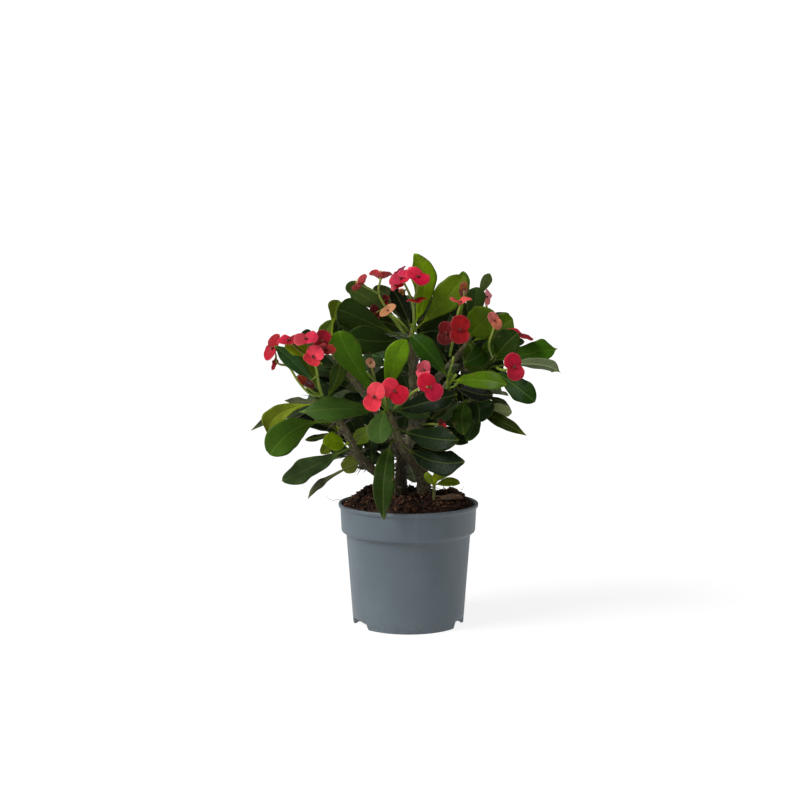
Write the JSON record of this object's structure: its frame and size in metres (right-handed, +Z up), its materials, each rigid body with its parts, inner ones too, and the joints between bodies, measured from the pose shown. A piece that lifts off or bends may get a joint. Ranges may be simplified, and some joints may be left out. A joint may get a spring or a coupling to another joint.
{
  "type": "potted euphorbia",
  "caption": "Bushy crown-of-thorns plant with woody stems, obovate leaves and paired red bracts, rooted in soil in a round tapered nursery pot with a collared rim.",
  "frame": {"origin": "on the pot's axis, on the surface it stands on, under the middle of the plant", "axes": "+Z up along the pot's axis, the side that faces the viewer is -Y, +X to the viewer's right"},
  "size_m": [0.2575, 0.1761, 0.3167],
  "materials": {
    "pot_plastic": "satin moulded blue-grey plastic",
    "potting_soil": "loose dark peat and bark",
    "bark": "rough light bark",
    "woody_stem": "grey-brown ridged bark",
    "green_leaf": "semi-matte leaf",
    "young_leaf": "semi-matte young leaf",
    "red_bracts": "velvety matte petal-like bract"
  },
  "bodies": {
    "root": {"bark_chip": "bark", "flowers_centre": "red_bracts", "flowers_centre_right": "red_bracts", "flowers_left": "red_bracts", "flowers_low_right_buds": "red_bracts", "flowers_rear_left": "red_bracts", "flowers_rear_right": "red_bracts", "flowers_right": "red_bracts", "flowers_right_back": "red_bracts", "flowers_right_upper": "red_bracts", "flowers_top_centre": "red_bracts", "flowers_top_left": "red_bracts", "leaf_centre_hanging": "green_leaf", "leaf_centre_lime": "young_leaf", "leaf_centre_right": "green_leaf", "leaf_crown_right": "green_leaf", "leaf_crown_tall": "green_leaf", "leaf_front_hanging": "green_leaf", "leaf_left_broad": "green_leaf", "leaf_left_drooping": "green_leaf", "leaf_left_long": "green_leaf", "leaf_left_old": "young_leaf", "leaf_left_olive": "young_leaf", "leaf_left_shoulder": "green_leaf", "leaf_left_under_bloom": "green_leaf", "leaf_left_wide": "green_leaf", "leaf_low_left_narrow": "green_leaf", "leaf_low_left_wavy": "green_leaf", "leaf_low_right": "green_leaf", "leaf_low_right_narrow": "green_leaf", "leaf_low_right_vertical": "green_leaf", "leaf_mid_right_lower": "green_leaf", "leaf_mid_right_upper": "green_leaf", "leaf_right_drooping": "green_leaf", "leaf_right_face": "green_leaf", "leaf_right_horizontal": "green_leaf", "leaf_right_lime": "young_leaf", "leaf_right_mid": "green_leaf", "leaf_right_underside": "green_leaf", "leaf_stem_left_hanging": "green_leaf", "leaf_stem_left_lit": "green_leaf", "pot": "pot_plastic", "shoot_crown": "green_leaf", "shoot_inner": "green_leaf", "shoot_left": "green_leaf", "shoot_left_low": "green_leaf", "shoot_rear_left": "green_leaf", "shoot_rear_low": "green_leaf", "shoot_rear_right": "green_leaf", "shoot_rear_top": "green_leaf", "shoot_right_front": "green_leaf", "shoot_right_low": "green_leaf", "shoot_right_top": "green_leaf", "shoot_upper_left": "young_leaf", "shoot_young": "young_leaf", "soil": "potting_soil", "stem_left": "woody_stem", "stem_main": "woody_stem", "stem_middle": "woody_stem"}
  },
  "joints": []
}
